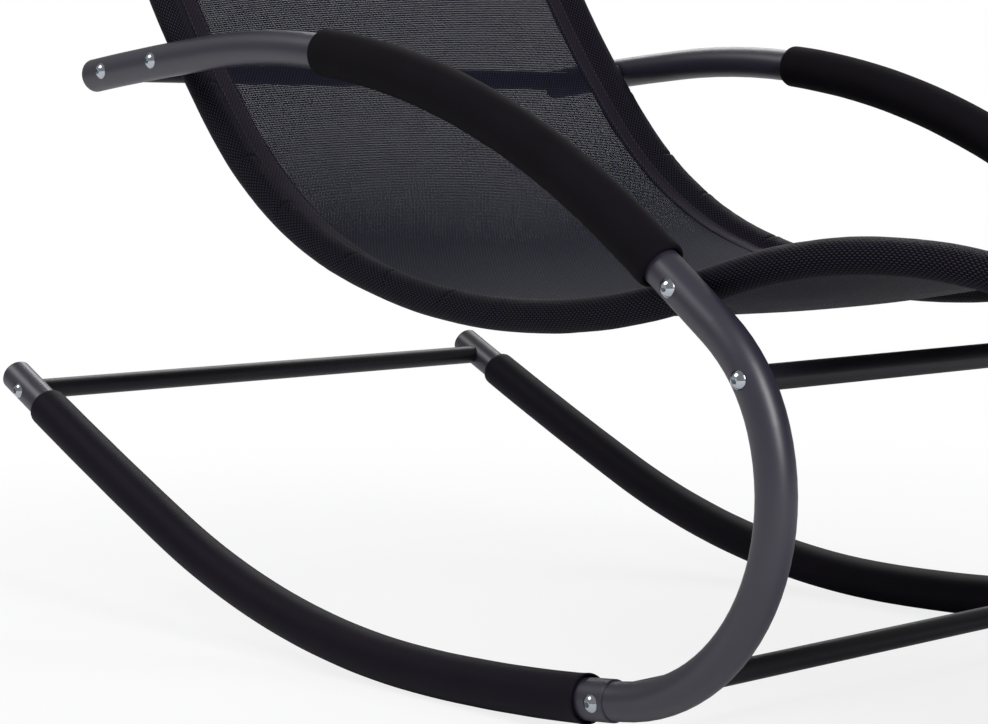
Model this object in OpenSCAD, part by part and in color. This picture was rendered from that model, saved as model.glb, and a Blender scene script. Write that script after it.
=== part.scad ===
// Zero gravity rocking chair: two bent tube sides on curved rockers, six crossbars,
// and a mesh sling on two S-shaped seat rails that hang inside the arms.
// Millimetres. X points to the feet, Y to the sitter's left, Z up.
// The origin is on the floor, under the middle of the overall box.

/* [Overall] */
// Distance between the centre lines of the two side frames
frame_spacing = 588; // [540:1:640]

/* [Side tubes] */
// Outside diameter of the side frame and rocker tubes
frame_tube_d = 30; // [28:0.5:32]
// Wall of the side frame and rocker tubes
frame_wall = 1.2; // [1:0.1:1.6]
// Downward slope of the rocker at its rear end, in degrees
rear_slope = 26.8; // [25.8:0.1:27.8]
// Bend radius of the almost straight rear end of the rocker
rear_r = 6000; // [4500:500:8000]
// Turn of the rear end, in degrees
rear_turn = 2.7; // [2.2:0.1:3.4]
// Bend radius of the rocker behind its lowest point
rocker_rear_r = 865; // [830:5:900]
// Turn of the rear rocker bend, in degrees
rocker_rear_turn = 23.8; // [22.8:0.1:24.8]
// Bend radius of the rocker from its lowest point to the front curve
rocker_floor_r = 1790; // [1600:10:2000]
// Turn of the floor bend, in degrees
rocker_floor_turn = 7; // [6:0.1:8]
// Bend radius of the lower part of the front curve
front_low_r = 166; // [158:1:174]
// Turn of the lower part of the front curve, in degrees
front_low_turn = 100.6; // [99:0.1:102]
// Bend radius of the upper part of the front curve, which is tighter
front_high_r = 135; // [128:1:142]
// Turn of the upper part of the front curve, in degrees
front_high_turn = 35.4; // [34:0.1:37]
// Bend radius between the front curve and the arm
arm_front_r = 4000; // [3000:500:6000]
// Turn between the front curve and the arm, in degrees
arm_front_turn = 1.6; // [1.3:0.1:2]
// Bend radius of the arm
arm_r = 757; // [735:1:780]
// Turn of the arm, in degrees
arm_turn = 39.6; // [38.6:0.1:40.6]
// Bend radius of the rear end of the arm
arm_rear_r = 4000; // [3000:500:6000]
// Turn of the rear end of the arm, in degrees
arm_rear_turn = 2.7; // [2.3:0.1:3.2]
// Length of the expanded socket that takes the end of the side frame
socket_len = 45; // [38:1:52]
// Depth of the push fit gap in the socket, on the radius
socket_gap = 0.15; // [0.1:0.05:0.3]
// Distance from the lower crossbar to the mouth of the socket
socket_mouth = 11; // [10:1:16]

/* [Crossbars] */
// Outside diameter of the crossbars
crossbar_d = 19; // [18:0.5:20]
// Wall of the crossbars
crossbar_wall = 1; // [0.9:0.1:1.4]
// Distance of the rear rocker crossbar from the end of its tube
rear_bar_at = 28; // [24:1:32]
// Distance of the front lower crossbar behind the start of the front curve
lower_bar_back = 18; // [14:1:24]
// Distance from the lower to the upper front crossbar, along the tube
upper_bar_from_lower = 347; // [335:1:360]
// Distance of the arm crossbar from the rear end of the arm tube
arm_bar_at = 30; // [26:1:36]
// Distance of the end crossbars from the ends of the seat rails
end_bar_at = 34; // [28:1:40]
// Gap between a crossbar's shaped end and the tube it meets
saddle_gap = 0.1; // [0.05:0.05:0.3]

/* [Seat rails] */
// Outside diameter of the seat rails
rail_d = 22; // [21:0.5:23]
// Wall of the seat rails
rail_wall = 1.2; // [1:0.1:1.5]
// Gap between the side frame and the seat rail, which a spacer fills
seat_gap = 4; // [3.5:0.5:6.5]
// Distance of the rear seat bolt from the arm crossbar, along the arm
rear_seat_bolt_at = 78; // [72:1:86]
// Distance of the front seat bolt from the upper crossbar, along the tube
front_seat_bolt_at = 91; // [86:1:96]
// Length of the rail from its head end to the rear seat bolt
back_len = 406; // [380:1:440]
// Bend radius of the upper back
back_r = 4000; // [3000:500:6000]
// Turn of the upper back, in degrees
back_turn = 4.7; // [4:0.1:5.4]
// Bend radius of the lower back
lumbar_r = 1100; // [1000:10:1250]
// Turn of the lower back, in degrees
lumbar_turn = 8.1; // [7.4:0.1:9]
// Bend radius where the back turns into the seat
hip_r = 376; // [360:1:395]
// Turn of that bend, in degrees
hip_turn = 30.2; // [29.4:0.1:31]
// Bend radius of the seat
seat_r = 657; // [640:1:675]
// Turn of the seat, in degrees
seat_turn = 35.6; // [34.8:0.1:36.4]
// Bend radius of the rise behind the knees
rise_r = 3000; // [2500:100:4000]
// Turn of the rise, in degrees
rise_turn = 0.6; // [0.5:0.1:1.2]
// Bend radius over the knees
knee_r = 485; // [460:1:510]
// Turn over the knees, in degrees
knee_turn = 34.9; // [33:0.1:37]
// Bend radius of the leg rest
leg_r = 2500; // [2000:100:3500]
// Turn of the leg rest, in degrees
leg_turn = 8.2; // [6.5:0.1:9.5]
// Distance of the rail joint behind the front seat bolt
rail_joint_at = 50; // [45:1:60]
// Length of the reduced end that plugs into the back rail
spigot_len = 36; // [30:1:42]
// Push fit gap round the spigot, on the radius
spigot_gap = 0.1; // [0.05:0.05:0.2]

/* [Covers] */
// Outside diameter of the foam arm grips
grip_d = 40; // [38:0.5:43]
// Length of the foam arm grips
grip_len = 420; // [395:1:440]
// Distance from the front seat bolt to the front of the grip
grip_from_bolt = 23; // [21:1:28]
// Outside diameter of the rocker sleeves
tread_d = 38; // [37.5:0.5:41]
// Distance of the rocker sleeve from the rear end of its tube
tread_from_end = 57; // [52:1:64]
// Distance from the front end of the rocker sleeve to the lower crossbar
tread_to_bar = 17; // [14:1:22]
// Bevel on the ends of the grips and rocker sleeves
cover_bevel = 2.5; // [1.5:0.5:3]
// Bevel on the mouth of the socket
mouth_bevel = 1; // [0.6:0.1:1.2]
// Height of the domed tube caps
cap_dome = 4; // [3:0.5:6]
// Length of a cap's plug inside its tube
cap_plug = 16; // [12:1:18]

/* [Sling] */
// Thickness of the fabric sleeve round a seat rail
sleeve_wall = 2.2; // [1.6:0.1:2.5]
// Gap between a seat rail and its sleeve
sleeve_gap = 0.1; // [0.05:0.05:0.2]
// Width of the flat hem beside the sleeve
hem_w = 24; // [18:1:30]
// Thickness of the hem where it is widest, at the rail
hem_root_t = 7; // [5:0.5:9]
// Thickness of the hem at its stitched edge
hem_edge_t = 2.4; // [2:0.1:3]
// Thickness of the mesh
mesh_t = 1.6; // [1.4:0.1:2]
// Bare length of rail past each end of the sling
sling_inset = 60; // [54:1:70]
// Width of the folded hems at the head and foot of the mesh
end_hem_w = 30; // [20:1:40]

/* [Fasteners] */
// Thread diameter of the bolts
bolt_d = 8; // [7.5:0.1:8.2]
// Width of a bolt's head
bolt_head_d = 14; // [13:0.5:15]
// Height of a bolt's head
bolt_head_h = 4.4; // [4:0.1:5]
// Width across the flats of a bolt's hexagon socket
bolt_socket_w = 5; // [4:0.5:6]
// Depth of that socket
bolt_socket_depth = 2.6; // [2:0.1:3]
// Depth of the flat that seats a bolt's head on a round tube
head_flat = 0.7; // [0.5:0.1:0.8]
// Length of thread in a crossbar's insert
bolt_grip = 14; // [12:1:16]
// Length of the inserts in the crossbars
insert_len = 18; // [17:1:24]
// Fit of an insert in its tube, on the radius
insert_gap = 0.1; // [0.05:0.05:0.2]
// Clearance of a bolt in its holes, on the radius
bolt_gap = 0.2; // [0.1:0.05:0.4]
// Outside diameter of the nuts pressed in the seat rails
rail_nut_d = 11; // [10.5:0.1:12]
// Outside diameter of the spacers between arm and seat rail
spacer_d = 14; // [13.5:0.5:16]

/* [Hidden] */

$fn = 32;
round_fn = 32;
arc_fn = 240;
tiny = 0.001;
through = 1;
// Angle in degrees that each bend runs past its two ends, so that it shares a volume with the next one
seam = 0.0000001;

powder_coat = "#3a383d";
bar_coat = "#29272b";
foam_black = "#1f1c22";
rubber_black = "#221f25";
plastic_black = "#242226";
zinc = "#c3cad2";
sleeve_black = "#1b191d";
mesh_grey = "#2d2b30";

frame_r = frame_tube_d / 2;
frame_bore_r = frame_r - frame_wall;
socket_bore_r = frame_r + socket_gap;
socket_r = socket_bore_r + frame_wall;
bar_r = crossbar_d / 2;
bar_bore_r = bar_r - crossbar_wall;
rail_r = rail_d / 2;
rail_bore_r = rail_r - rail_wall;
sleeve_bore_r = rail_r + sleeve_gap;
sleeve_r = sleeve_bore_r + sleeve_wall;
rail_inset = frame_r + seat_gap + rail_r;
rail_y = frame_spacing / 2 - rail_inset;
hem_edge = rail_r + sleeve_wall + hem_w;
mesh_half_w = rail_y - hem_edge;

// A path is a list of bends: [turn in degrees, radius]. Turns to the left of the heading are positive.
// A place is [x, z, heading in degrees]. Angles are kept to a thousandth of a degree.
function whole(v) = round(v * 1000) / 1000;
function bend_len(bend) = abs(bend[0]) * PI / 180 * bend[1];
function path_len(path, i = 0) = i == len(path) ? 0 : bend_len(path[i]) + path_len(path, i + 1);
function turn_at(bend, d) = whole(d / bend[1] * 180 / PI);
function part_of(bend, from, to) = [sign(bend[0]) * (turn_at(bend, to) - turn_at(bend, from)), bend[1]];
function bend_centre(place, bend) = [
    place[0] - sign(bend[0]) * bend[1] * sin(place[2]),
    place[1] + sign(bend[0]) * bend[1] * cos(place[2])];
function after(place, bend) =
    let (c = bend_centre(place, bend), s = sign(bend[0]), h = whole(place[2] + bend[0]))
    [c[0] + s * bend[1] * sin(h), c[1] - s * bend[1] * cos(h), h];
function place_at(path, start, s, i = 0) = i == len(path) || s <= 0
    ? start
    : let (l = bend_len(path[i]))
        place_at(path, after(start, part_of(path[i], 0, min(s, l))), s - l, i + 1);
function slice(path, from, to, i = 0, s = 0) = i == len(path)
    ? []
    : let (l = bend_len(path[i]), part = part_of(path[i], max(from - s, 0), min(to - s, l)))
        concat(part[0] * path[i][0] > 0 && to > s ? [part] : [], slice(path, from, to, i + 1, s + l));
function places(path, start, i = 0) = i == len(path)
    ? []
    : concat([start], places(path, after(start, path[i]), i + 1));
function lowest(path, start, i = 0) = i == len(path)
    ? start[1]
    : let (next = after(start, path[i]), in_bend = start[2] < 0 && next[2] > 0)
        min(in_bend ? bend_centre(start, path[i])[1] - path[i][1] : start[1], lowest(path, next, i + 1));

// Side tube: from the rear end of the rocker, under the seat, round the front and up to the arm
side_path = [
    [rear_turn, rear_r],
    [rocker_rear_turn, rocker_rear_r],
    [rocker_floor_turn, rocker_floor_r],
    [front_low_turn, front_low_r],
    [front_high_turn, front_high_r],
    [arm_front_turn, arm_front_r],
    [arm_turn, arm_r],
    [arm_rear_turn, arm_rear_r]];
side_len = path_len(side_path);
runner_path = [for (i = [0:2]) side_path[i]];
front_curve_s = path_len(runner_path);

// Stations along the side tube, from the rear end of the rocker
rear_bar_s = rear_bar_at;
tread_rear_s = tread_from_end;
lower_bar_s = front_curve_s - lower_bar_back;
tread_front_s = lower_bar_s - tread_to_bar;
socket_mouth_s = lower_bar_s + socket_mouth;
socket_root_s = socket_mouth_s - socket_len;
upper_bar_s = lower_bar_s + upper_bar_from_lower;
front_seat_bolt_s = upper_bar_s + front_seat_bolt_at;
grip_front_s = front_seat_bolt_s + grip_from_bolt;
grip_rear_s = grip_front_s + grip_len;
arm_bar_s = side_len - arm_bar_at;
rear_seat_bolt_s = arm_bar_s - rear_seat_bolt_at;

// The side tube before it is set over the origin, with its rear end at X 0 and its tread on the floor
loose_start = [0, tread_d / 2 - lowest(runner_path, [0, 0, -rear_slope]), -rear_slope];

// Seat rail: from its head end, down the back, along the seat, over the knees and down to the foot end
rail_path = [
    [back_turn, back_r],
    [lumbar_turn, lumbar_r],
    [hip_turn, hip_r],
    [seat_turn, seat_r],
    [rise_turn, rise_r],
    [-knee_turn, knee_r],
    [-leg_turn, leg_r]];
rail_len = path_len(rail_path);

// The rail runs through both seat bolts: its shape gives the station of the front one and its heading
rear_bolt_loose = place_at(side_path, loose_start, rear_seat_bolt_s);
front_bolt_loose = place_at(side_path, loose_start, front_seat_bolt_s);
bolt_run = [front_bolt_loose[0] - rear_bolt_loose[0], front_bolt_loose[1] - rear_bolt_loose[1]];
function rail_run(s) = place_at(rail_path, [0, 0, 0], s) - place_at(rail_path, [0, 0, 0], back_len);
function run_len(s) = norm([rail_run(s)[0], rail_run(s)[1]]);
function run_station(from, to, step = 0) = step == 24
    ? (from + to) / 2
    : let (mid = (from + to) / 2)
        run_len(mid) < norm(bolt_run) ? run_station(mid, to, step + 1) : run_station(from, mid, step + 1);
front_nut_s = run_station(back_len, rail_len);
back_heading = whole(atan2(bolt_run[1], bolt_run[0]) - atan2(rail_run(front_nut_s)[1], rail_run(front_nut_s)[0]));
nut_from_head = place_at(rail_path, [0, 0, back_heading], back_len);
head_loose = [rear_bolt_loose[0] - nut_from_head[0], rear_bolt_loose[1] - nut_from_head[1], back_heading];
foot_loose = place_at(rail_path, head_loose, rail_len);

// Stations along the seat rail, from its head end
rear_nut_s = back_len;
rail_joint_s = front_nut_s - rail_joint_at;
head_bar_s = end_bar_at;
foot_bar_s = rail_len - end_bar_at;

// How far a domed tube end reaches along X past the middle of its tube's end
function dome_r(r) = (r * r + cap_dome * cap_dome) / (2 * cap_dome);
function end_reach(tilt, r) = abs(tilt) < asin(r / dome_r(r))
    ? dome_r(r) - (dome_r(r) - cap_dome) * cos(tilt)
    : r * sin(abs(tilt));
rear_most = min(-end_reach(rear_slope, frame_r), head_loose[0] - end_reach(back_heading, rail_r));
front_most = max(foot_loose[0] + end_reach(foot_loose[2], rail_r),
    bend_centre(place_at(side_path, loose_start, front_curve_s), side_path[3])[0] + front_low_r + frame_r);
shift_x = -(rear_most + front_most) / 2;

function seated(place) = [place[0] + shift_x, place[1], place[2]];
side_start = seated(loose_start);
head_place = seated(head_loose);
function side_place(s) = place_at(side_path, side_start, s);
function rail_place(s) = place_at(rail_path, head_place, s);

// Side pieces are drawn flat, path along X and Y, with +Z pointing away from the sitter
module on_side(side, y) {
    mirror([0, side == "left" ? 1 : 0, 0])
        translate([0, -y, 0])
        rotate([90, 0, 0])
        children();
}

// Moves by whole millimetres, by thousandths and then by the rest, so that bends meet exactly
module moved(x, y, z = 0) {
    fine_x = floor(x * 1000) / 1000;
    fine_y = floor(y * 1000) / 1000;
    translate([floor(x), floor(y), z])
        translate([fine_x - floor(x), fine_y - floor(y), 0])
        translate([x - fine_x, y - fine_y, 0])
        children();
}

// One bend of a path with the child's outline: its X is the path's left, its Y the outboard side
module bend_solid(place, bend) {
    centre = bend_centre(place, bend);
    left = bend[0] > 0;
    moved(centre[0], centre[1])
        rotate_extrude(angle = abs(bend[0]) + 2 * seam,
            start = whole(left ? place[2] - 90 : place[2] + 90 + bend[0]) - seam, $fn = arc_fn)
        translate([bend[1], 0])
        mirror([left ? 1 : 0, 0])
        children();
}

module swept(path, start) {
    stops = places(path, start);
    for (i = [0:len(path) - 1]) {
        bend_solid(stops[i], path[i]) children();
    }
}

module rod(path, start, r) {
    swept(path, start) circle(r, $fn = round_fn);
}

module tube(path, start, r, bore) {
    swept(path, start) ring(r, bore);
}

module ring(r, bore) {
    difference() {
        circle(r, $fn = round_fn);
        circle(bore, $fn = round_fn);
    }
}

// Stands the child's Z along the path at a place
module along(place) {
    moved(place[0], place[1])
        rotate([0, 0, place[2]])
        rotate([0, 90, 0])
        children();
}

// Stands the child's Z outboard at a place
module outboard(place, z = 0) {
    moved(place[0], place[1], z) children();
}

// Hole across a tube for a bolt, with the flat that its head sits on
module bolt_hole(place, r) {
    outboard(place, -r - through) cylinder(h = 2 * (r + through), r = bolt_d / 2 + bolt_gap);
    outboard(place, r - head_flat) cylinder(h = head_flat + through, r = bolt_head_d / 2 + bolt_gap);
}

// Hole in the outboard wall of a seat rail for its pressed nut
module rail_nut_hole(place) {
    outboard(place, rail_bore_r - rail_wall)
        cylinder(h = 2 * rail_wall + through, r = rail_nut_d / 2 + insert_gap);
}

// Arm, front curve and the end that plugs into the rocker's socket
module side_frame(side) {
    color(powder_coat)
        on_side(side, frame_spacing / 2)
        difference() {
            tube(slice(side_path, socket_root_s, side_len), side_place(socket_root_s),
                frame_r, frame_bore_r);
            for (s = [upper_bar_s, front_seat_bolt_s, rear_seat_bolt_s, arm_bar_s]) {
                bolt_hole(side_place(s), frame_r);
            }
            outboard(side_place(lower_bar_s), -frame_r - through)
                cylinder(h = 2 * (frame_r + through), r = bolt_d / 2 + bolt_gap);
        }
}

// Ring that cuts a bevel at the end of a tube of radius r: Z points out of the tube
module bevel_ring(r, bevel) {
    difference() {
        translate([0, 0, -bevel - through / 2]) cylinder(h = bevel + 2 * through, r = r + through);
        translate([0, 0, -bevel - through])
            cylinder(h = bevel + 3 * through, r1 = r + through, r2 = r - bevel - 2 * through);
    }
}

// Rocker tube, with its front end expanded to take the side frame
module rocker_tube(side) {
    step_s = socket_root_s - frame_wall;
    color(powder_coat)
        on_side(side, frame_spacing / 2)
        difference() {
            union() {
                tube(slice(side_path, 0, step_s), side_start, frame_r, frame_bore_r);
                tube(slice(side_path, step_s, socket_mouth_s), side_place(step_s), socket_r, frame_bore_r);
            }
            rod(slice(side_path, socket_root_s, socket_mouth_s + through), side_place(socket_root_s),
                socket_bore_r);
            bolt_hole(side_place(rear_bar_s), frame_r);
            bolt_hole(side_place(lower_bar_s), socket_r);
            along(side_place(socket_mouth_s)) bevel_ring(socket_r, mouth_bevel);
        }
}

// Black sleeve that the rocker runs on, bored wider where it covers the socket
module rocker_sleeve(side) {
    step_s = socket_root_s - frame_wall;
    color(rubber_black)
        on_side(side, frame_spacing / 2)
        difference() {
            union() {
                tube(slice(side_path, tread_rear_s, step_s), side_place(tread_rear_s),
                    tread_d / 2, frame_r);
                tube(slice(side_path, step_s, tread_front_s), side_place(step_s), tread_d / 2, socket_r);
            }
            along(side_place(tread_rear_s)) mirror([0, 0, 1]) bevel_ring(tread_d / 2, cover_bevel);
            along(side_place(tread_front_s)) bevel_ring(tread_d / 2, cover_bevel);
        }
}

module arm_grip(side) {
    color(foam_black)
        on_side(side, frame_spacing / 2)
        difference() {
            tube(slice(side_path, grip_front_s, grip_rear_s), side_place(grip_front_s), grip_d / 2, frame_r);
            along(side_place(grip_front_s)) mirror([0, 0, 1]) bevel_ring(grip_d / 2, cover_bevel);
            along(side_place(grip_rear_s)) bevel_ring(grip_d / 2, cover_bevel);
        }
}

// Seat rail from its head end to the joint behind the knees
module back_rail(side) {
    color(powder_coat)
        on_side(side, rail_y)
        difference() {
            tube(slice(rail_path, 0, rail_joint_s), head_place, rail_r, rail_bore_r);
            rail_nut_hole(rail_place(rear_nut_s));
            bolt_hole(rail_place(head_bar_s), rail_r);
        }
}

// Seat rail from the joint to its foot end, with a reduced spigot that plugs into the back rail
module leg_rail(side) {
    spigot_s = rail_joint_s - spigot_len;
    step_s = rail_joint_s + rail_wall;
    spigot_r = rail_bore_r - spigot_gap;
    color(powder_coat)
        on_side(side, rail_y)
        difference() {
            union() {
                tube(slice(rail_path, spigot_s, rail_joint_s), rail_place(spigot_s),
                    spigot_r, spigot_r - rail_wall);
                tube(slice(rail_path, rail_joint_s, step_s), rail_place(rail_joint_s),
                    rail_r, spigot_r - rail_wall);
                tube(slice(rail_path, step_s, rail_len), rail_place(step_s), rail_r, rail_bore_r);
            }
            rail_nut_hole(rail_place(front_nut_s));
            bolt_hole(rail_place(foot_bar_s), rail_r);
        }
}

// A bar across the chair, with its ends shaped to the tubes at half its span
module crossbar(place, half, tube_path, tube_start, r) {
    difference() {
        translate([place[0], -half, place[1]])
            rotate([-90, 0, 0])
            cylinder(h = 2 * half, r = bar_r);
        translate([place[0], -half - through, place[1]])
            rotate([-90, 0, 0])
            cylinder(h = 2 * (half + through), r = bar_bore_r);
        for (side = ["left", "right"]) {
            on_side(side, half) rod(tube_path, tube_start, r + saddle_gap);
        }
    }
}

module frame_crossbar(s, r) {
    from = max(0, s - crossbar_d);
    color(bar_coat)
        crossbar(side_place(s), frame_spacing / 2,
            slice(side_path, from, s + crossbar_d), side_place(from), r);
}

module rail_crossbar(s) {
    from = max(0, s - crossbar_d);
    color(bar_coat)
        crossbar(rail_place(s), rail_y,
            slice(rail_path, from, s + crossbar_d), rail_place(from), rail_r);
}

module arm_crossbar() {
    frame_crossbar(arm_bar_s, frame_r);
}

module rear_rocker_crossbar() {
    frame_crossbar(rear_bar_s, frame_r);
}

module front_lower_crossbar() {
    frame_crossbar(lower_bar_s, socket_r);
}

module front_upper_crossbar() {
    frame_crossbar(upper_bar_s, frame_r);
}

module head_crossbar() {
    rail_crossbar(head_bar_s);
}

module foot_crossbar() {
    rail_crossbar(foot_bar_s);
}

// Frame crossbars: the station of each along the side tube, and the tube's radius there
frame_bars = [
    [rear_bar_s, frame_r],
    [lower_bar_s, socket_r],
    [upper_bar_s, frame_r],
    [arm_bar_s, frame_r]];
rail_bars = [head_bar_s, foot_bar_s];

// Threaded plug just inside the end of a crossbar, past a tube of radius r
module bar_insert(place, r) {
    outboard(place, -r - saddle_gap - insert_len)
        difference() {
            cylinder(h = insert_len, r = bar_bore_r - insert_gap);
            translate([0, 0, -through])
                cylinder(h = insert_len + 2 * through, r = bolt_d / 2 + bolt_gap);
        }
}

// Button head bolt: the underside of its head is at Z 0 and its thread points inboard
module bolt(reach) {
    head_ball = (bolt_head_d * bolt_head_d / 4 + bolt_head_h * bolt_head_h) / (2 * bolt_head_h);
    difference() {
        union() {
            intersection() {
                translate([0, 0, bolt_head_h - head_ball]) sphere(head_ball);
                cylinder(h = bolt_head_h, r = bolt_head_d / 2);
            }
            translate([0, 0, -reach]) cylinder(h = reach + bolt_head_h / 3, r = bolt_d / 2);
        }
        translate([0, 0, bolt_head_h - bolt_socket_depth])
            cylinder(h = bolt_socket_depth + through, d = bolt_socket_w / cos(30), $fn = 6);
    }
}

// Bolt across a tube of radius r and into the insert of the crossbar behind it
module bar_bolt(place, r) {
    outboard(place, r - head_flat) bolt(2 * r - head_flat + saddle_gap + bolt_grip);
}

module crossbar_inserts() {
    color(zinc)
        for (side = ["left", "right"]) {
            on_side(side, frame_spacing / 2) {
                for (bar = frame_bars) {
                    bar_insert(side_place(bar[0]), bar[1]);
                }
            }
        }
}

module seat_bar_inserts() {
    color(zinc)
        for (side = ["left", "right"]) {
            on_side(side, rail_y) {
                for (s = rail_bars) {
                    bar_insert(rail_place(s), rail_r);
                }
            }
        }
}

module crossbar_bolts() {
    color(zinc)
        for (side = ["left", "right"]) {
            on_side(side, frame_spacing / 2) {
                for (bar = frame_bars) {
                    bar_bolt(side_place(bar[0]), bar[1]);
                }
            }
        }
}

module seat_bar_bolts() {
    color(zinc)
        for (side = ["left", "right"]) {
            on_side(side, rail_y) {
                for (s = rail_bars) {
                    bar_bolt(rail_place(s), rail_r);
                }
            }
        }
}

// The nuts pressed in the seat rails stop short of the rail's inner wall
rail_nut_len = rail_r + rail_bore_r / 2;

// Bolts through the arm and its spacer into the nut in the seat rail
module seat_bolts() {
    color(zinc)
        for (side = ["left", "right"]) {
            on_side(side, frame_spacing / 2) {
                for (s = [rear_seat_bolt_s, front_seat_bolt_s]) {
                    outboard(side_place(s), frame_r - head_flat)
                        bolt(2 * frame_r - head_flat + seat_gap + rail_nut_len - bolt_gap);
                }
            }
        }
}

module seat_rail_nuts() {
    color(zinc)
        for (side = ["left", "right"]) {
            on_side(side, rail_y) {
                for (s = [rear_nut_s, front_nut_s]) {
                    outboard(rail_place(s), rail_r - rail_nut_len)
                        difference() {
                            cylinder(h = rail_nut_len, r = rail_nut_d / 2);
                            translate([0, 0, -through])
                                cylinder(h = rail_nut_len + 2 * through, r = bolt_d / 2 + bolt_gap);
                        }
                }
            }
        }
}

// Short spacer between arm and seat rail, saddled to both tubes
module seat_spacer(side, arm_s, rail_s) {
    difference() {
        on_side(side, rail_y)
            outboard(rail_place(rail_s))
            cylinder(h = rail_inset, r = spacer_d / 2);
        on_side(side, rail_y)
            outboard(rail_place(rail_s), -through)
            cylinder(h = rail_inset + 2 * through, r = bolt_d / 2 + bolt_gap);
        on_side(side, rail_y)
            outboard(rail_place(rail_s))
            cylinder(h = rail_r + tiny, r = rail_nut_d / 2 + insert_gap);
        on_side(side, rail_y)
            rod(slice(rail_path, rail_s - spacer_d, rail_s + spacer_d),
                rail_place(rail_s - spacer_d), rail_r + saddle_gap);
        on_side(side, frame_spacing / 2)
            rod(slice(side_path, arm_s - spacer_d, arm_s + spacer_d),
                side_place(arm_s - spacer_d), frame_r + saddle_gap);
    }
}

module seat_spacers() {
    color(plastic_black)
        for (side = ["left", "right"]) {
            seat_spacer(side, rear_seat_bolt_s, rear_nut_s);
            seat_spacer(side, front_seat_bolt_s, front_nut_s);
        }
}

// Domed cap with a plug that closes a tube: its Z points out of the tube
module end_cap(r, bore) {
    ball = dome_r(r);
    intersection() {
        translate([0, 0, cap_dome - ball]) sphere(ball);
        cylinder(h = cap_dome, r = r);
    }
    translate([0, 0, -cap_plug]) cylinder(h = cap_plug + cap_dome / 2, r = bore - insert_gap);
}

module arm_end_caps() {
    color(plastic_black)
        for (side = ["left", "right"]) {
            on_side(side, frame_spacing / 2)
                along(side_place(side_len))
                end_cap(frame_r, frame_bore_r);
        }
}

module rocker_end_caps() {
    color(plastic_black)
        for (side = ["left", "right"]) {
            on_side(side, frame_spacing / 2)
                along(side_start)
                mirror([0, 0, 1])
                end_cap(frame_r, frame_bore_r);
        }
}

module rail_end_caps() {
    color(plastic_black)
        for (side = ["left", "right"]) {
            on_side(side, rail_y) {
                along(head_place) mirror([0, 0, 1]) end_cap(rail_r, rail_bore_r);
                along(rail_place(rail_len)) end_cap(rail_r, rail_bore_r);
            }
        }
}

sling_path = slice(rail_path, sling_inset, rail_len - sling_inset);
sling_start = rail_place(sling_inset);

// Mesh between the two hems, with a folded hem across its head and foot
module sling_mesh() {
    foot_hem_s = rail_len - sling_inset - end_hem_w;
    color(mesh_grey)
        rotate([90, 0, 0]) {
            swept(sling_path, sling_start) square([mesh_t, 2 * mesh_half_w], center = true);
            swept(slice(rail_path, sling_inset, sling_inset + end_hem_w), sling_start)
                square([hem_edge_t, 2 * mesh_half_w], center = true);
            swept(slice(rail_path, foot_hem_s, foot_hem_s + end_hem_w), rail_place(foot_hem_s))
                square([hem_edge_t, 2 * mesh_half_w], center = true);
        }
}

// Outline of the sleeve and its hem, which tapers inboard to the stitched edge of the mesh
module sleeve_outline() {
    difference() {
        union() {
            circle(sleeve_r, $fn = round_fn);
            polygon([
                [-hem_root_t / 2, 0],
                [-hem_root_t / 2, -sleeve_r],
                [-hem_edge_t / 2, -hem_edge],
                [hem_edge_t / 2, -hem_edge],
                [hem_root_t / 2, -sleeve_r],
                [hem_root_t / 2, 0]]);
        }
        circle(sleeve_bore_r, $fn = round_fn);
    }
}

// Fabric tunnel round a seat rail, with windows for the spacers
module sling_sleeve(side) {
    color(sleeve_black)
        on_side(side, rail_y)
        difference() {
            swept(sling_path, sling_start) sleeve_outline();
            for (s = [rear_nut_s, front_nut_s]) {
                outboard(rail_place(s)) cylinder(h = sleeve_r + through, r = spacer_d / 2 + insert_gap);
            }
        }
}

side_frame("left");  // side_frame_left
side_frame("right");  // side_frame_right
rocker_tube("left");  // rocker_tube_left
rocker_tube("right");  // rocker_tube_right
rocker_sleeve("left");  // rocker_sleeve_left
rocker_sleeve("right");  // rocker_sleeve_right
arm_grip("left");  // arm_grip_left
arm_grip("right");  // arm_grip_right
back_rail("left");  // back_rail_left
back_rail("right");  // back_rail_right
leg_rail("left");  // leg_rail_left
leg_rail("right");  // leg_rail_right
arm_crossbar();
rear_rocker_crossbar();
front_lower_crossbar();
front_upper_crossbar();
head_crossbar();
foot_crossbar();
crossbar_inserts();
seat_bar_inserts();
crossbar_bolts();
seat_bar_bolts();
seat_bolts();
seat_rail_nuts();
seat_spacers();
arm_end_caps();
rocker_end_caps();
rail_end_caps();
sling_mesh();
sling_sleeve("left");  // sling_sleeve_left
sling_sleeve("right");  // sling_sleeve_right
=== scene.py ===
"""Looks of a zero gravity rocking chair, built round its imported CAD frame.

Sizes are millimetres until a mesh is made. X points to the feet, Y to the sitter's left, Z up.
"""

from __future__ import annotations

import logging
import math
from dataclasses import dataclass
from enum import Enum

import bmesh
import bpy
import numpy as np
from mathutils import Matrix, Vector, noise

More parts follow.
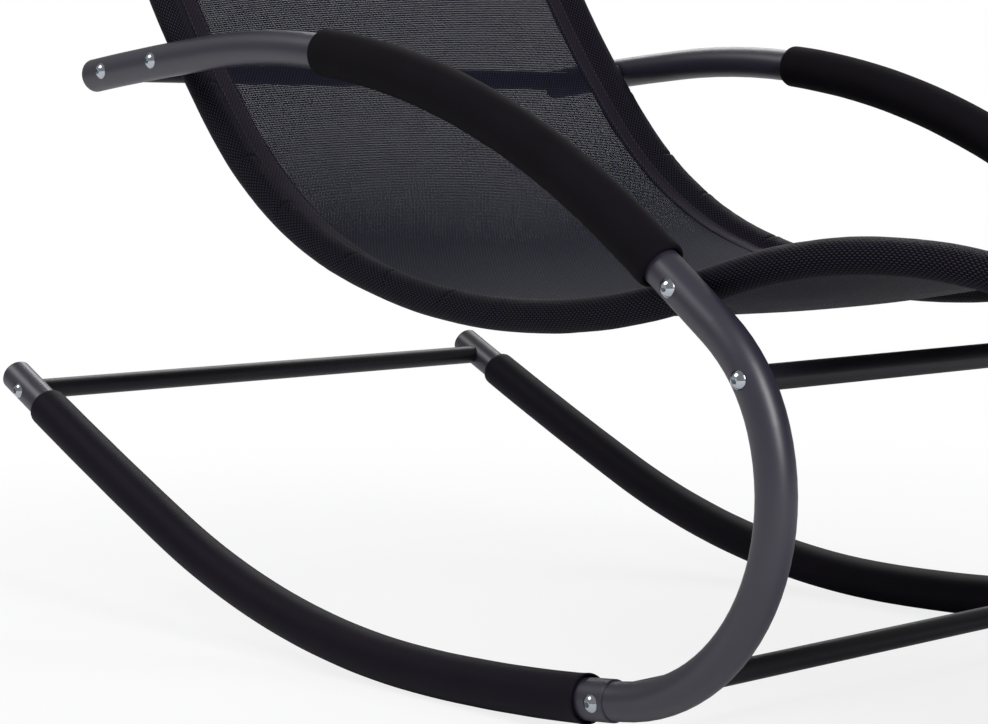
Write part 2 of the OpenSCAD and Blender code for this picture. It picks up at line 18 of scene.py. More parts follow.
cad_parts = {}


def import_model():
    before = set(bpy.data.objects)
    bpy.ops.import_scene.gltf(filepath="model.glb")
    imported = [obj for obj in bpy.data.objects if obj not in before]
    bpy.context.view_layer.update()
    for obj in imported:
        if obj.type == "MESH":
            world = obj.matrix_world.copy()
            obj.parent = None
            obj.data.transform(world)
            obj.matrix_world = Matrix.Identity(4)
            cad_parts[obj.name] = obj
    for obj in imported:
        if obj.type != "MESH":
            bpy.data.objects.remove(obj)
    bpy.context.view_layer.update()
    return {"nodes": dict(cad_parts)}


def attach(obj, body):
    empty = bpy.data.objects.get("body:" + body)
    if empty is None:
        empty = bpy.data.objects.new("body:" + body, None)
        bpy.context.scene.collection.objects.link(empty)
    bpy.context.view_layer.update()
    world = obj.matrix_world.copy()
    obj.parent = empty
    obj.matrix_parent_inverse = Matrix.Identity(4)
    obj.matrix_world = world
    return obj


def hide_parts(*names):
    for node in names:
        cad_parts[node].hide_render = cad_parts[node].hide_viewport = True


log = logging.getLogger("rocking_chair")

MM = 0.001
BODY = "root"
BISECTIONS = 24


class Side(Enum):
    """Side of the chair, with the sign of its Y."""

    LEFT = 1
    RIGHT = -1

    @property
    def word(self) -> str:
        """Lower-case name, as the CAD nodes use it."""
        return self.name.lower()


class End(Enum):
    """End of a foam tube, as it looks on the chair."""

    HUGGING = "rounded over and tight on its tube"
    OPEN = "cut square, standing a little off its tube"
    FLARED = "stretched wide, with a thin lip that stands clear of its tube"


# Paths of the bent tubes


@dataclass(frozen=True)
class Bend:
    """One bend of a tube: its turn in degrees, positive to the left, and its radius."""

    turn: float
    radius: float

    @property
    def length(self) -> float:
        """Length of the bend along its centre line."""
        return math.radians(abs(self.turn)) * self.radius


@dataclass(frozen=True)
class Place:
    """A point of a path in the chair's X and Z, with the heading there in degrees."""

    x: float
    z: float
    heading: float

    def left(self, distance: float) -> tuple[float, float]:
        """Point at a distance to the left of the heading."""
        angle = math.radians(self.heading)
        return self.x - distance * math.sin(angle), self.z + distance * math.cos(angle)

    def after(self, turn: float, radius: float) -> Place:
        """Place at the end of a bend that starts here.

        Args:
            turn: turn of the bend in degrees, positive to the left.
            radius: radius of the bend.

        Returns:
            The place at its end.
        """
        if turn == 0:
            return self
        reach = math.copysign(radius, turn)
        centre = self.left(reach)
        x, z = Place(centre[0], centre[1], self.heading + turn).left(-reach)
        return Place(x, z, self.heading + turn)


@dataclass(frozen=True)
class TubePath:
    """Centre line of a bent tube."""

    bends: tuple[Bend, ...]
    start: Place = Place(0.0, 0.0, 0.0)

    @property
    def length(self) -> float:
        """Whole length of the path."""
        return sum(bend.length for bend in self.bends)

    def at(self, station: float) -> Place:
        """Place at a station.

        Args:
            station: distance along the path from its start.

        Returns:
            The place there.
        """
        place = self.start
        for bend in self.bends:
            run = min(max(station, 0.0), bend.length)
            place = place.after(math.copysign(math.degrees(run / bend.radius), bend.turn), bend.radius)
            station -= bend.length
            if station <= 0:
                break
        return place

    def curvature(self, station: float) -> float:
        """Turn to the left in radians per millimetre at a station."""
        for bend in self.bends:
            if station <= bend.length:
                return math.copysign(1 / bend.radius, bend.turn)
            station -= bend.length
        return 0.0

    def lowest(self) -> float:
        """Height of the lowest point of the path."""
        place = self.start
        low = place.z
        for bend in self.bends:
            after = place.after(bend.turn, bend.radius)
            if place.heading < 0 < after.heading:
                low = min(low, place.left(bend.radius)[1] - bend.radius)
            low = min(low, after.z)
            place = after
        return low

    def moved_to(self, start: Place) -> TubePath:
        """The same path from another start."""
        return TubePath(self.bends, start)


@dataclass(frozen=True)
class ChairSizes:
    """Named sizes of the chair, the same as in its CAD source."""

    frame_spacing: float = 588.0
    frame_tube_d: float = 30.0
    rear_slope: float = 26.8
    side_bends: tuple[Bend, ...] = (
        Bend(2.7, 6000),
        Bend(23.8, 865),
        Bend(7, 1790),
        Bend(100.6, 166),
        Bend(35.4, 135),
        Bend(1.6, 4000),
        Bend(39.6, 757),
        Bend(2.7, 4000),
    )
    lower_bar_back: float = 18.0
    upper_bar_from_lower: float = 347.0
    arm_bar_at: float = 30.0
    front_seat_bolt_at: float = 91.0
    rear_seat_bolt_at: float = 78.0
    grip_from_bolt: float = 23.0
    grip_len: float = 420.0
    grip_d: float = 40.0
    tread_from_end: float = 57.0
    tread_to_bar: float = 17.0
    tread_d: float = 38.0
    rail_d: float = 22.0
    seat_gap: float = 4.0
    rail_bends: tuple[Bend, ...] = (
        Bend(4.7, 4000),
        Bend(8.1, 1100),
        Bend(30.2, 376),
        Bend(35.6, 657),
        Bend(0.6, 3000),
        Bend(-34.9, 485),
        Bend(-8.2, 2500),
    )
    back_len: float = 406.0
    sleeve_wall: float = 2.2
    hem_w: float = 24.0
    sling_inset: float = 60.0
    end_hem_w: float = 30.0
    cap_dome: float = 4.0
    foam_gap: float = 0.1

    @property
    def rail_y(self) -> float:
        """Distance of a seat rail's plane from the middle of the chair."""
        return self.frame_spacing / 2 - self.frame_tube_d / 2 - self.seat_gap - self.rail_d / 2

    @property
    def hem_edge(self) -> float:
        """Distance of the stitched edge of the mesh inboard of the rail's centre line."""
        return self.rail_d / 2 + self.sleeve_wall + self.hem_w

    @property
    def mesh_half_w(self) -> float:
        """Half the width of the mesh that shows between the two hems."""
        return self.rail_y - self.hem_edge


class ChairLines:
    """Centre lines and stations of the chair, worked out from its sizes as the CAD source does."""

    def __init__(self, sizes: ChairSizes) -> None:
        """Works out both paths and sets them over the origin.

        Args:
            sizes: named sizes of the chair.
        """
        self.sizes = sizes
        bends = sizes.side_bends
        loose = TubePath(bends[:3], Place(0.0, 0.0, -sizes.rear_slope))
        side = TubePath(bends, Place(0.0, sizes.tread_d / 2 - loose.lowest(), -sizes.rear_slope))
        front_curve = loose.length
        self.lower_bar = front_curve - sizes.lower_bar_back
        self.tread_rear = sizes.tread_from_end
        self.tread_front = self.lower_bar - sizes.tread_to_bar
        self.upper_bar = self.lower_bar + sizes.upper_bar_from_lower
        self.front_bolt = self.upper_bar + sizes.front_seat_bolt_at
        self.grip_front = self.front_bolt + sizes.grip_from_bolt
        self.grip_rear = self.grip_front + sizes.grip_len
        self.arm_bar = side.length - sizes.arm_bar_at
        self.rear_bolt = self.arm_bar - sizes.rear_seat_bolt_at
        rail = self._rail_between(side.at(self.rear_bolt), side.at(self.front_bolt))
        shift = self._shift(side, rail, front_curve)
        self.side = side.moved_to(Place(side.start.x + shift, side.start.z, side.start.heading))
        self.rail = rail.moved_to(Place(rail.start.x + shift, rail.start.z, rail.start.heading))

    def _rail_between(self, rear: Place, front: Place) -> TubePath:
        """Seat rail that runs through both seat bolts.

        Args:
            rear: place of the rear seat bolt on the arm.
            front: place of the front seat bolt on the arm.

        Returns:
            The rail's path.
        """
        rail = TubePath(self.sizes.rail_bends)
        nut = rail.at(self.sizes.back_len)
        span = math.hypot(front.x - rear.x, front.z - rear.z)
        low, high = self.sizes.back_len, rail.length
        for _ in range(BISECTIONS):
            middle = (low + high) / 2
            there = rail.at(middle)
            if math.hypot(there.x - nut.x, there.z - nut.z) < span:
                low = middle
            else:
                high = middle
        there = rail.at((low + high) / 2)
        heading = math.degrees(
            math.atan2(front.z - rear.z, front.x - rear.x) - math.atan2(there.z - nut.z, there.x - nut.x)
        )
        turned = rail.moved_to(Place(0.0, 0.0, heading)).at(self.sizes.back_len)
        return rail.moved_to(Place(rear.x - turned.x, rear.z - turned.z, heading))

    def _shift(self, side: TubePath, rail: TubePath, front_curve: float) -> float:
        """Shift along X that centres the chair's box.

        Args:
            side: side tube before the shift.
            rail: seat rail before the shift.
            front_curve: station where the front curve starts.

        Returns:
            The shift in millimetres.
        """
        frame_r = self.sizes.frame_tube_d / 2
        rail_r = self.sizes.rail_d / 2
        foot = rail.at(rail.length)
        curve = self.sizes.side_bends[3]
        rear = min(
            side.start.x - self._end_reach(side.start.heading, frame_r),
            rail.start.x - self._end_reach(rail.start.heading, rail_r),
        )
        front = max(
            foot.x + self._end_reach(foot.heading, rail_r),
            side.at(front_curve).left(curve.radius)[0] + curve.radius + frame_r,
        )
        return -(rear + front) / 2

    def _end_reach(self, tilt: float, radius: float) -> float:
        """How far a domed tube end reaches along X past the middle of its tube's end.

        Args:
            tilt: heading of the tube there in degrees.
            radius: radius of the tube.

        Returns:
            The reach in millimetres.
        """
        dome = (radius**2 + self.sizes.cap_dome**2) / (2 * self.sizes.cap_dome)
        if abs(tilt) < math.degrees(math.asin(radius / dome)):
            return dome - (dome - self.sizes.cap_dome) * math.cos(math.radians(tilt))
        return radius * math.sin(math.radians(abs(tilt)))


# Finishes


def linear(colour: str) -> tuple[float, float, float, float]:
    """Linear colour of an sRGB hex value.

    Args:
        colour: colour such as "#3a383d".

    Returns:
        Red, green, blue and alpha for a shader socket.
    """
    parts = [int(colour[i : i + 2], 16) / 255 for i in (1, 3, 5)]
    red, green, blue = (c / 12.92 if c <= 0.04045 else ((c + 0.055) / 1.055) ** 2.4 for c in parts)
    return red, green, blue, 1.0


def add_node(
    tree: bpy.types.NodeTree, kind: str, settings: dict | None = None, inputs: dict | None = None
) -> bpy.types.Node:
    """Adds a node with its settings and links.

    Args:
        tree: node tree that takes the node.
        kind: Blender's name of the node type.
        settings: attributes of the node.
        inputs: value or output socket for each input, by its name or number.

    Returns:
        The new node.
    """
    node = tree.nodes.new(kind)
    for name, value in (settings or {}).items():
        setattr(node, name, value)
    for key, value in (inputs or {}).items():
        if isinstance(value, bpy.types.NodeSocket):
            tree.links.new(value, node.inputs[key])
        else:
            node.inputs[key].default_value = value
    return node


def ramp(
    tree: bpy.types.NodeTree,
    value: bpy.types.NodeSocket,
    source: tuple[float, float] = (0.0, 1.0),
    target: tuple[float | bpy.types.NodeSocket, float] = (0.0, 1.0),
    smooth: bool = False,
) -> bpy.types.NodeSocket:
    """Maps a range of a value to another range, held at its ends.

    Args:
        tree: node tree that takes the node.
        value: socket with the value.
        source: ends of its range.
        target: what the two ends become.
        smooth: whether it eases in and out.

    Returns:
        The socket with the result.
    """
    ends = {"From Min": source[0], "From Max": source[1], "To Min": target[0], "To Max": target[1]}
    settings = {"interpolation_type": "SMOOTHSTEP"} if smooth else None
    return add_node(tree, "ShaderNodeMapRange", settings, {"Value": value, **ends}).outputs["Result"]


@dataclass(frozen=True)
class Finish:
    """A plain finish: its colour, and how it takes the light."""

    name: str
    colour: str
    roughness: float
    metallic: float = 0.0
    specular: float = 0.5
    grain_mm: float = 2.0
    grain_depth_mm: float = 0.02
    mottle: float = 0.08
    mottle_mm: float = 40.0
    grain_strength: float = 0.5

    def material(self) -> bpy.types.Material:
        """Builds the material.

        Returns:
            The finished material.
        """
        found = bpy.data.materials.get(self.name)
        if found:
            return found
        material = bpy.data.materials.new(self.name)
        material.use_nodes = True
        tree = material.node_tree
        shader = tree.nodes["Principled BSDF"]
        shader.inputs["Base Color"].default_value = linear(self.colour)
        shader.inputs["Roughness"].default_value = self.roughness
        shader.inputs["Metallic"].default_value = self.metallic
        if self.metallic == 0:
            shader.inputs["Specular IOR Level"].default_value = self.specular
        self.detail(tree, shader)
        return material

    def detail(self, tree: bpy.types.NodeTree, shader: bpy.types.Node) -> None:
        """Adds grain and a slight mottle of the colour.

        Args:
            tree: node tree of the material.
            shader: its Principled BSDF.
        """
        place = add_node(tree, "ShaderNodeTexCoord").outputs["Object"]
        self.mottled(tree, shader, place)
        scale = 1 / (self.grain_mm * MM)
        grain = add_node(tree, "ShaderNodeTexNoise", None, {"Vector": place, "Scale": scale, "Detail": 3.0})
        bump = add_node(
            tree,
            "ShaderNodeBump",
            None,
            {
                "Height": grain.outputs["Fac"],
                "Strength": self.grain_strength,
                "Distance": self.grain_depth_mm * MM,
            },
        )
        tree.links.new(bump.outputs["Normal"], shader.inputs["Normal"])

    def mottled(self, tree: bpy.types.NodeTree, shader: bpy.types.Node, place: bpy.types.NodeSocket) -> None:
        """Varies the colour a little over the surface.

        Args:
            tree: node tree of the material.
            shader: its Principled BSDF.
            place: socket with the coordinates.
        """
        scale = 1 / (self.mottle_mm * MM)
        cloud = add_node(tree, "ShaderNodeTexNoise", None, {"Vector": place, "Scale": scale, "Detail": 4.0})
        base = linear(self.colour)
        ramp = add_node(tree, "ShaderNodeValToRGB", None, {"Fac": cloud.outputs["Fac"]})
        ramp.color_ramp.elements[0].position = 0.3
        ramp.color_ramp.elements[1].position = 0.7
        for element, factor in zip(ramp.color_ramp.elements, (1 - self.mottle, 1 + self.mottle)):
            element.color = (*(c * factor for c in base[:3]), 1.0)
        tree.links.new(ramp.outputs["Color"], shader.inputs["Base Color"])


@dataclass(frozen=True)
class Woven(Finish):
    """Plain weave of coated polyester yarns, with or without open holes, with a painted highlight on its warp
    floats and painted shade on its weft floats and between its yarns.
    """

    warp_mm: float = 1.7
    weft_mm: float = 2.22
    gap: float = 0.0
    relief_mm: float = 0.35
    warp_highlight_colour: str = "#4a4950"
    weft_shade_colour: str = "#1f1d22"
    shade: float = 0.15
    crimp: float = 0.35
    crossing: float = 0.2
    valley: float = 0.3
    crown: float = 0.95

    def detail(self, tree: bpy.types.NodeTree, shader: bpy.types.Node) -> None:
        """Weaves the yarns along the piece's own cloth map, which is in metres, with a painted highlight on
        the warp floats and painted shade on the weft floats and in the hollows between the yarns.

        Args:
            tree: node tree of the material.
            shader: its Principled BSDF.
        """
        cloth = add_node(tree, "ShaderNodeUVMap", {"uv_map": "cloth"}).outputs["UV"]
        axes = add_node(tree, "ShaderNodeSeparateXYZ", None, {"Vector": cloth})
        waves = []
        for axis, pitch in (("X", self.warp_mm), ("Y", self.weft_mm)):
            angle = self.maths(tree, "MULTIPLY", axes.outputs[axis], math.pi / (pitch * MM))
            waves.append(self.maths(tree, "SINE", angle))
        yarns = [self.maths(tree, "ABSOLUTE", wave) for wave in waves]
        over = self.maths(tree, "MULTIPLY", *waves)
        warp_rise = self.maths(tree, "MULTIPLY_ADD", over, self.crimp, 1 - self.crimp)
        weft_rise = self.maths(tree, "MULTIPLY_ADD", over, -self.crimp, 1 - self.crimp)
        warp = self.maths(tree, "MULTIPLY", yarns[0], warp_rise)
        weft = self.maths(tree, "MULTIPLY", yarns[1], weft_rise)
        height = self.maths(tree, "MAXIMUM", warp, weft)
        bump = add_node(
            tree, "ShaderNodeBump", None, {"Height": height, "Strength": 1.0, "Distance": self.relief_mm * MM}
        )
        tree.links.new(bump.outputs["Normal"], shader.inputs["Normal"])
        # Warp floats that lie on top take the light colour and weft floats the dark one: a painted highlight
        # and painted shade on the same yarn.
        warp_highlight_mask = ramp(tree, self.maths(tree, "SUBTRACT", warp, weft), (0.0, self.crossing), smooth=True)
        yarn = add_node(
            tree,
            "ShaderNodeMix",
            {"data_type": "RGBA"},
            {0: warp_highlight_mask, 6: linear(self.weft_shade_colour), 7: linear(self.warp_highlight_colour)},
        )
        # Painted shade: the yarn colour darkens towards the sides of each yarn and into the hollows between
        # yarns.
        depth = ramp(tree, height, (self.valley, self.crown), (self.shade, 1.0))
        shaded = add_node(
            tree, "ShaderNodeVectorMath", {"operation": "SCALE"}, {0: yarn.outputs[2], "Scale": depth}
        )
        tree.links.new(shaded.outputs[0], shader.inputs["Base Color"])
        if self.gap > 0:
            solid = self.maths(tree, "MAXIMUM", *yarns)
            tree.links.new(self.maths(tree, "GREATER_THAN", solid, self.gap), shader.inputs["Alpha"])

    @staticmethod
    def maths(
        tree: bpy.types.NodeTree, operation: str, *values: float | bpy.types.NodeSocket
    ) -> bpy.types.NodeSocket:
        """Adds a sum and gives its result.

        Args:
            tree: node tree of the material.
            operation: Blender's name of the operation.
            values: numbers or output sockets that it works on.

        Returns:
            The output socket with the result.
        """
        return add_node(tree, "ShaderNodeMath", {"operation": operation}, dict(enumerate(values))).outputs[0]


# Satin polyester powder coat on steel tube: an even dark grey with a broad soft sheen and faint orange peel.
# The peel is drawn 2 mm wide, wider than such a coat has it, so that it shows.
POWDER_COAT = Finish(
    "powder_coated_steel", "#272532", 0.4, specular=0.7, grain_mm=2.0, grain_depth_mm=0.05, mottle=0.05
)
# Thinner black coat on the crossbars: darker than the bent tubes, with the same satin sheen.
BAR_COAT = Finish(
    "black_coated_steel", "#17151c", 0.42, specular=0.3, grain_mm=2.5, grain_depth_mm=0.03, mottle=0.06
)
# Closed-cell nitrile foam, extruded and ground: matt, nearly black, with fine pores.
NITRILE_FOAM = Finish(
    "ground_nitrile_foam", "#0d0a10", 0.85, specular=0.1, grain_mm=1.2, grain_depth_mm=0.25, mottle=0.12
)
# Dense skinned foam of the rocker sleeves: smoother than the grips, with a low sheen along its top.
SKINNED_FOAM = Finish(
    "skinned_dense_foam", "#120e18", 0.6, specular=0.1, grain_mm=1.5, grain_depth_mm=0.08, mottle=0.1
)
# Moulded polyethylene of the tube caps and spacers: smooth and slightly waxy.
MOULDED_CAP = Finish("moulded_polyethylene", "#1e1c20", 0.5, specular=0.4, grain_mm=1.5, grain_depth_mm=0.01)
# Bright zinc plate over turned steel: cool and shiny, with a slightly hazy bloom.
ZINC_PLATE = Finish(
    "bright_zinc_plate", "#b9bfc6", 0.13, metallic=1.0, grain_mm=1.0, grain_depth_mm=0.01, mottle=0.06
)
# Spun polyester sewing thread.
THREAD = Finish("spun_polyester_thread", "#3b3742", 0.75, specular=0.3, grain_mm=0.6, grain_depth_mm=0.05)
# Open weave of vinyl coated polyester yarns: see-through from the front and closed at a slant. Its light warp
# colour is a painted highlight and its dark weft colour is painted shade.
SLING_WEAVE = Woven(
    "open_vinyl_weave", "#1d1b20", 0.55, specular=0.05, gap=0.54, warp_highlight_colour="#2b2b43", weft_shade_colour="#040408"
)
# The same weave folded double round the rails, where no light comes through. Its light warp colour is a
# painted highlight and its dark weft colour is painted shade.
FOLDED_WEAVE = Woven(
    "folded_vinyl_weave", "#151318", 0.55, specular=0.06, relief_mm=0.45,
    warp_highlight_colour="#322f3d", weft_shade_colour="#020104",
)
# Hem between the rail and the open mesh: the weave pressed flat, so smoother and a little lighter, with less
# painted shade between its yarns and a weaker painted highlight on its warp floats.
PRESSED_HEM = Woven(
    "pressed_vinyl_hem", "#17141a", 0.6, specular=0.06, relief_mm=0.12,
    warp_highlight_colour="#322d39", weft_shade_colour="#1a161f", shade=0.6,
)


# Pieces


def deselect() -> None:
    """Deselects every object."""
    bpy.ops.object.select_all(action="DESELECT")


def make_active(piece: bpy.types.Object) -> None:
    """Makes a piece the only selected object and the active one."""
    deselect()
    piece.select_set(True)
    bpy.context.view_layer.objects.active = piece


def smooth_shell(mesh: bpy.types.Mesh, closed: bool) -> None:
    """Shades a mesh smooth, and turns the faces of a closed one outwards.

    Args:
        mesh: the mesh.
        closed: whether its faces close round a space.
    """
    shell = bmesh.new()
    shell.from_mesh(mesh)
    if closed:
        bmesh.ops.recalc_face_normals(shell, faces=shell.faces)
    for face in shell.faces:
        face.smooth = True
    shell.to_mesh(mesh)
    shell.free()


def round_outline(outline: list[tuple[float, float]]) -> np.ndarray:
    """Distance of each point round a closed outline, in metres, ending with the way back to its start.

    Args:
        outline: points of the outline in millimetres.

    Returns:
        One distance for each point, and the whole way round.
    """
    loop = outline + outline[:1]
    return np.concatenate([[0.0], np.cumsum([math.dist(a, b) for a, b in zip(loop, loop[1:])])]) * MM


def grid_mesh(
    name: str,
    points: np.ndarray,
    across: np.ndarray,
    along: np.ndarray,
    loop_across: bool,
    loop_along: bool = False,
    caps: bool = False,
) -> bpy.types.Object:
    """Skins a grid of points, with a cloth map in metres.

    Args:
        name: name of the piece.
        points: grid of points in metres, its rows along the piece and its columns across it.
        across: distance of each column across the cloth, in metres, with one more value on a loop.
        along: distance of each row along the cloth, in metres, with one more value on a loop.
        loop_across: whether the last column meets the first.
        loop_along: whether the last row meets the first.
        caps: whether the end rows are filled.

    Returns:
        The new object.
    """
    rows, columns = points.shape[:2]
    faces = []
    corners = []
    for i in range(rows if loop_along else rows - 1):
        for j in range(columns if loop_across else columns - 1):
            below, beside = (i + 1) % rows, (j + 1) % columns
            row, next_row = i * columns, below * columns
            faces.append((row + j, row + beside, next_row + beside, next_row + j))
            corners.extend(
                [
                    (across[j], along[i]),
                    (across[j + 1], along[i]),
                    (across[j + 1], along[i + 1]),
                    (across[j], along[i + 1]),
                ]
            )
    if caps:
        for row in (0, rows - 1):
            faces.append(tuple(row * columns + j for j in range(columns)))
            corners.extend([(across[j], along[row]) for j in range(columns)])
    mesh = bpy.data.meshes.new(name)
    mesh.from_pydata(points.reshape(-1, 3).tolist(), [], faces)
    cloth = mesh.uv_layers.new(name="cloth")
    cloth.data.foreach_set("uv", np.array(corners, dtype=np.float32).ravel())
    piece = bpy.data.objects.new(name, mesh)
    bpy.context.scene.collection.objects.link(piece)
    smooth_shell(mesh, loop_across)
    return piece


def in_chair(
    place: Place, side: Side, plane: float, up: float, outboard: float
) -> tuple[float, float, float]:
    """Point beside a path, in metres in the chair's frame.

    Args:
        place: place on the path.
        side: side of the chair.
        plane: distance of the path's plane from the middle of the chair.
        up: distance to the left of the path's heading.
        outboard: distance away from the sitter.

    Returns:
        X, Y and Z in metres.
    """
    x, z = place.left(up)
    return x * MM, side.value * (plane + outboard) * MM, z * MM


def finished(piece: bpy.types.Object, finish: Finish, slot: str, *stands_for: str) -> bpy.types.Object:
    """Dresses a piece and fixes it to the chair.

    Args:
        piece: the piece.
        finish: its finish.
        slot: material slot of the record that it stands for; not used.
        stands_for: CAD nodes that it replaces.

    Returns:
        The piece.
    """
    piece.data.materials.clear()
    piece.data.materials.append(finish.material())
    if stands_for:
        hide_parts(*stands_for)
    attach(piece, BODY)
    log.info("%s: %d faces, %s", piece.name, len(piece.data.polygons), finish.name)
    return piece


@dataclass
class FoamTube:
    """A foam tube pushed over the side tube: an arm grip or a rocker sleeve."""

    name: str
    slot: str
    path: TubePath
    plane: float
    outer_d: float
    bore_d: float
    front: float
    rear: float
    front_end: End = End.OPEN
    rear_end: End = End.OPEN
    lip: float = 4.0
    flare: float = 0.7
    flare_len: float = 14.0
    finish: Finish = NITRILE_FOAM
    unevenness: float = 0.25
    wave_mm: float = 34.0
    waves_around: float = 2.2
    wave_middle: float = 0.4
    skin_over_bore: float = 1.5
    around: int = 56
    step: float = 4.0

    def end_profile(self, end: End) -> list[tuple[float, float]]:
        """Profile of one end, from its outer skin to its bore.

        Args:
            end: how the end looks.

        Returns:
            Pairs of the distance in from the end and the radius.
        """
        outer, bore = self.outer_d / 2, self.bore_d / 2
        if end is End.HUGGING:
            steps = [math.radians(a) for a in range(0, 91, 15)]
            wall = outer - bore
            return [(wall * 1.6 * (1 - math.sin(a)), bore + wall * math.cos(a)) for a in steps]
        if end is End.FLARED:
            shares = (1.0, 0.6, 0.3, 0.1)
            flare = [(self.flare_len * share, outer + self.flare * (1 - share) ** 2) for share in shares]
            lip = [(0.2, outer + self.flare - 0.4), (0.2, outer - 1.0), (1.5, outer - 1.3)]
            return [*flare, *lip, (self.flare_len * 0.5, outer - 1.5), (self.flare_len * 0.8, bore + 1.4)]
        steps = [math.radians(a) for a in range(0, 91, 18)]
        rounded = [(self.lip * (1 - math.sin(a)), outer - self.lip * 0.55 * (1 - math.cos(a))) for a in steps]
        return [*rounded, (0.4, bore + 1.2), (2.0, bore + 0.5), (7.0, bore)]

    def build(self, side: Side) -> bpy.types.Object:
        """Builds the tube on one side of the chair.

        Args:
            side: side of the chair.

        Returns:
            The finished piece.
        """
        front = self.end_profile(self.front_end)
        rear = self.end_profile(self.rear_end)
        first, last = self.front + front[0][0], self.rear - rear[0][0]
        count = int((last - first) / self.step)
        outer = [(first + (last - first) * i / count, self.outer_d / 2) for i in range(1, count)]
        profile = [(self.front + d, r) for d, r in reversed(front)]
        profile += outer
        profile += [(self.rear - d, r) for d, r in rear]
        inner_first, inner_last = profile[0][0], profile[-1][0]
        inner_count = count // 2
        run, bore = inner_first - inner_last, self.bore_d / 2
        profile += [(inner_last + run * i / inner_count, bore) for i in range(1, inner_count)]
        points = np.zeros((len(profile), self.around, 3))
        for i, (station, radius) in enumerate(profile):
            place = self.path.at(station)
            skin = radius > self.bore_d / 2 + self.skin_over_bore
            for j in range(self.around):
                angle = 2 * math.pi * j / self.around
                turn_x, turn_y = self.waves_around * math.cos(angle), self.waves_around * math.sin(angle)
                wave = noise.noise(Vector((station / self.wave_mm, turn_x, turn_y + side.value)))
                r = radius + (self.unevenness * (wave - self.wave_middle) if skin else 0.0)
                points[i, j] = in_chair(place, side, self.plane, r * math.sin(angle), r * math.cos(angle))
        steps = np.hypot(np.diff([p[0] for p in profile]), np.diff([p[1] for p in profile]))
        along = np.concatenate([[0.0], np.cumsum(steps)]) * MM
        along = np.append(along, along[-1] + self.step * MM)
        across = np.arange(self.around + 1) * math.pi * self.outer_d / self.around * MM
        piece = grid_mesh(f"{self.name}_{side.word}_foam", points, across, along, True, True)
        finished(piece, self.finish, self.slot, f"{self.name}_{side.word}")
        return piece


